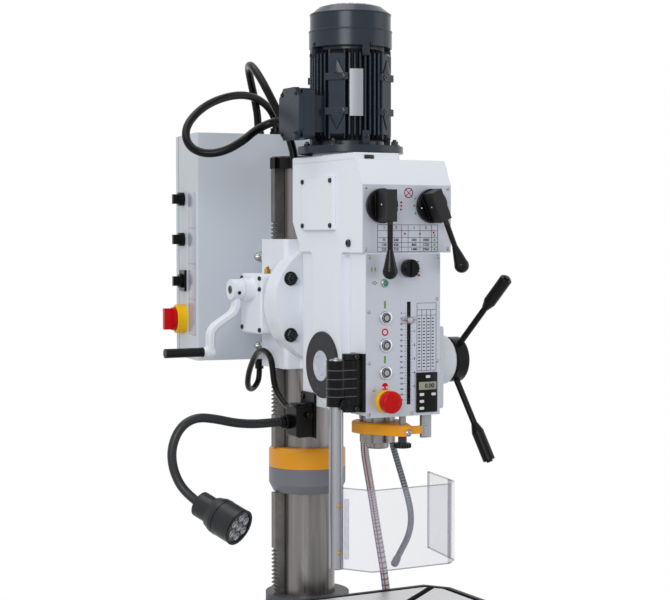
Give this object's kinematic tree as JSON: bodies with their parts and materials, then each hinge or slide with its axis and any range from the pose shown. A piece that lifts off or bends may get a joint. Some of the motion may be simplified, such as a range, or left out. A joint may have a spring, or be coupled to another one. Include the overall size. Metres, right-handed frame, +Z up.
{
  "type": "pillar drill",
  "caption": "Floor-standing pillar drill: a geared head with motor, quill, feed levers and electrical cabinet on a round column, above a swinging, lifting table and a slotted base.",
  "frame": {"origin": "on the floor under the column's axis", "axes": "+Z up along the column, -Y towards the operator, +X to the operator's right"},
  "size_m": [0.61, 0.8154, 2.054],
  "materials": {
    "head_paint": "smooth cool white enamel on a casting",
    "cabinet_paint": "fine-textured pale grey powder coat",
    "motor_paint": "satin blue-charcoal enamel",
    "yellow_paint": "satin orange-yellow enamel",
    "collar_paint": "satin mid grey enamel",
    "base_paint": "satin dark grey enamel on a casting",
    "panel_plate": "brushed and clear-coated plate",
    "bright_steel": "ground steel with a film of oil",
    "rack_steel": "milled steel",
    "table_iron": "planed grey iron",
    "rail_aluminium": "clear-anodised fluted extrusion",
    "button_steel": "turned stainless steel",
    "black_steel": "black oxide and satin black enamel",
    "black_plastic": "moulded black plastic with a soft sheen",
    "grey_plastic": "moulded grey plastic",
    "red_plastic": "glossy red plastic",
    "conduit_rubber": "glossy black conduit",
    "clear_hose": "clear braided hose with coloured tracers",
    "clear_guard": "clear polycarbonate sheet"
  },
  "bodies": {
    "stand": {"base_plate": "base_paint", "column_foot": "base_paint", "column": "bright_steel", "collar_lower": "collar_paint", "collar_upper": "yellow_paint", "column_cap": "black_plastic", "head_rack": "rack_steel", "coolant_hose": "clear_hose"},
    "head": {"head_carrier": "head_paint", "lift_gear_cover": "head_paint", "gear_head_housing": "head_paint", "head_covers": "head_paint", "front_plates": "panel_plate", "motor_housing": "motor_paint", "fan_cowl": "motor_paint", "terminal_box": "motor_paint", "spring_cover": "black_steel", "return_spring": "rack_steel", "feed_housing": "head_paint", "guard_hinge": "black_steel", "lamp_mount": "black_plastic", "lamp_arm": "black_steel", "lamp_head": "black_steel", "lamp_cable": "conduit_rubber", "cabinet_body": "cabinet_paint", "motor_conduit": "conduit_rubber", "control_conduit": "conduit_rubber", "conduit_glands": "black_plastic", "coolant_nozzle": "grey_plastic"},
    "lift_pinion": {"lift_pinion": "bright_steel"},
    "lift_crank": {"lift_crank": "head_paint"},
    "motor_shaft": {"motor_rotor": "bright_steel"},
    "drive_gear": {"drive_gear": "bright_steel"},
    "quill": {"quill": "bright_steel", "quill_bearings": "bright_steel", "depth_clamp": "yellow_paint", "depth_rod": "bright_steel"},
    "spindle": {"spindle": "bright_steel"},
    "feed": {"feed_shaft": "bright_steel", "feed_hub": "black_steel", "feed_levers": "black_steel"},
    "speed_lever_left": {"speed_lever_left": "black_plastic"},
    "speed_lever_right": {"speed_lever_right": "black_plastic"},
    "mode_dial": {"mode_dial": "black_plastic"},
    "start_button_upper": {"start_button_upper": "button_steel"},
    "stop_button": {"stop_button": "button_steel"},
    "start_button_lower": {"start_button_lower": "button_steel"},
    "estop_button": {"estop_button": "red_plastic"},
    "selector_upper": {"selector_upper": "black_plastic"},
    "selector_middle": {"selector_middle": "black_plastic"},
    "selector_lower": {"selector_lower": "black_plastic"},
    "main_switch": {"main_switch": "red_plastic"},
    "cabinet_door": {"cabinet_door": "cabinet_paint"},
    "guard_arm": {"guard_block": "black_plastic"},
    "guard": {"guard_rail": "rail_aluminium", "guard_shield": "clear_guard"},
    "table_column": {"table_rack": "rack_steel"},
    "table": {"table_arm": "base_paint", "table_top": "table_iron"},
    "table_crank": {"table_crank": "head_paint"}
  },
  "joints": [
    {"name": "head_lift", "type": "slide", "parent": "stand", "child": "head", "axis": [0, 0, 1], "range_m": [-0.04, 0.13], "deforming": ["coolant_hose"]},
    {"name": "lift_pinion_turn", "type": "hinge", "parent": "head", "child": "lift_pinion", "pos_m": [-0.08925, 0, 1.4877], "axis": [0, 1, 0], "continuous": true},
    {"name": "lift_crank_turn", "type": "hinge", "parent": "head", "child": "lift_crank", "pos_m": [-0.14, 0.008, 1.515], "axis": [1, 0, 0], "continuous": true},
    {"name": "motor_spin", "type": "hinge", "parent": "head", "child": "motor_shaft", "pos_m": [0, -0.18, 1.7], "axis": [0, 0, 1], "continuous": true},
    {"name": "drive_gear_spin", "type": "hinge", "parent": "head", "child": "drive_gear", "pos_m": [0, -0.285, 1.675], "axis": [0, 0, 1], "continuous": true},
    {"name": "quill_feed", "type": "slide", "parent": "head", "child": "quill", "axis": [0, 0, -1], "range_m": [0, 0.12], "stiffness_N_per_m": 600, "springref_m": -0.3},
    {"name": "feed_turn", "type": "hinge", "parent": "head", "child": "feed", "pos_m": [0.2, -0.23155, 1.3816], "axis": [1, 0, 0], "range_deg": [-1, 315]},
    {"name": "spindle_spin", "type": "hinge", "parent": "quill", "child": "spindle", "pos_m": [0, -0.285, 1.3], "axis": [0, 0, 1], "continuous": true},
    {"name": "speed_lever_left_turn", "type": "hinge", "parent": "head", "child": "speed_lever_left", "pos_m": [-0.0486, -0.382, 1.6735], "axis": [0, -1, 0], "range_deg": [-45, 15]},
    {"name": "speed_lever_right_turn", "type": "hinge", "parent": "head", "child": "speed_lever_right", "pos_m": [0.055, -0.382, 1.674], "axis": [0, -1, 0], "range_deg": [-38, 22]},
    {"name": "mode_dial_turn", "type": "hinge", "parent": "head", "child": "mode_dial", "pos_m": [0.0078, -0.382, 1.562], "axis": [0, -1, 0], "range_deg": [-60, 60]},
    {"name": "start_button_upper_press", "type": "slide", "parent": "head", "child": "start_button_upper", "axis": [0, 1, 0], "range_m": [0, 0.003], "stiffness_N_per_m": 400, "springref_m": -0.004},
    {"name": "stop_button_press", "type": "slide", "parent": "head", "child": "stop_button", "axis": [0, 1, 0], "range_m": [0, 0.003], "stiffness_N_per_m": 400, "springref_m": -0.004},
    {"name": "start_button_lower_press", "type": "slide", "parent": "head", "child": "start_button_lower", "axis": [0, 1, 0], "range_m": [0, 0.003], "stiffness_N_per_m": 400, "springref_m": -0.004},
    {"name": "estop_button_press", "type": "slide", "parent": "head", "child": "estop_button", "axis": [0, 1, 0], "range_m": [0, 0.005], "stiffness_N_per_m": 900, "springref_m": -0.004},
    {"name": "selector_upper_turn", "type": "hinge", "parent": "head", "child": "selector_upper", "pos_m": [-0.16191, 0.249, 1.697], "axis": [-0.99, 0.1409, 0], "range_deg": [-45, 45]},
    {"name": "selector_middle_turn", "type": "hinge", "parent": "head", "child": "selector_middle", "pos_m": [-0.16191, 0.249, 1.613], "axis": [-0.99, 0.1409, 0], "range_deg": [-45, 45]},
    {"name": "selector_lower_turn", "type": "hinge", "parent": "head", "child": "selector_lower", "pos_m": [-0.16191, 0.249, 1.526], "axis": [-0.99, 0.1409, 0], "range_deg": [-45, 45]},
    {"name": "main_switch_turn", "type": "hinge", "parent": "head", "child": "main_switch", "pos_m": [-0.16191, 0.249, 1.447], "axis": [-0.99, 0.1409, 0], "range_deg": [0, 90]},
    {"name": "cabinet_door_swing", "type": "hinge", "parent": "head", "child": "cabinet_door", "pos_m": [0.14598, 0.24559, 1.6], "axis": [0, 0, -1], "range_deg": [0, 100]},
    {"name": "guard_swing", "type": "hinge", "parent": "head", "child": "guard_arm", "pos_m": [-0.104, -0.361, 1.36], "axis": [0, 0, 1], "range_deg": [-90, 0]},
    {"name": "guard_height", "type": "slide", "parent": "guard_arm", "child": "guard", "axis": [0, 0, 1], "range_m": [-0.04, 0.06]},
    {"name": "table_swing", "type": "hinge", "parent": "stand", "child": "table_column", "pos_m": [0, 0, 0.9], "axis": [0, 0, 1], "range_deg": [-90, 0]},
    {"name": "table_lift", "type": "slide", "parent": "table_column", "child": "table", "axis": [0, 0, 1], "range_m": [-0.45, 0]},
    {"name": "table_crank_turn", "type": "hinge", "parent": "table", "child": "table_crank", "pos_m": [-0.14, 0.034, 0.83], "axis": [1, 0, 0], "continuous": true}
  ],
  "couplings": [
    {"joint": "lift_pinion_turn", "follows": "head_lift", "rad_per_m": 66.667},
    {"joint": "lift_crank_turn", "follows": "head_lift", "rad_per_m": 266.67},
    {"joint": "drive_gear_spin", "follows": "motor_spin", "ratio": -0.5},
    {"joint": "spindle_spin", "follows": "motor_spin", "ratio": -0.5},
    {"joint": "feed_turn", "follows": "quill_feed", "rad_per_m": 45.455},
    {"joint": "table_crank_turn", "follows": "table_lift", "rad_per_m": 266.67}
  ]
}
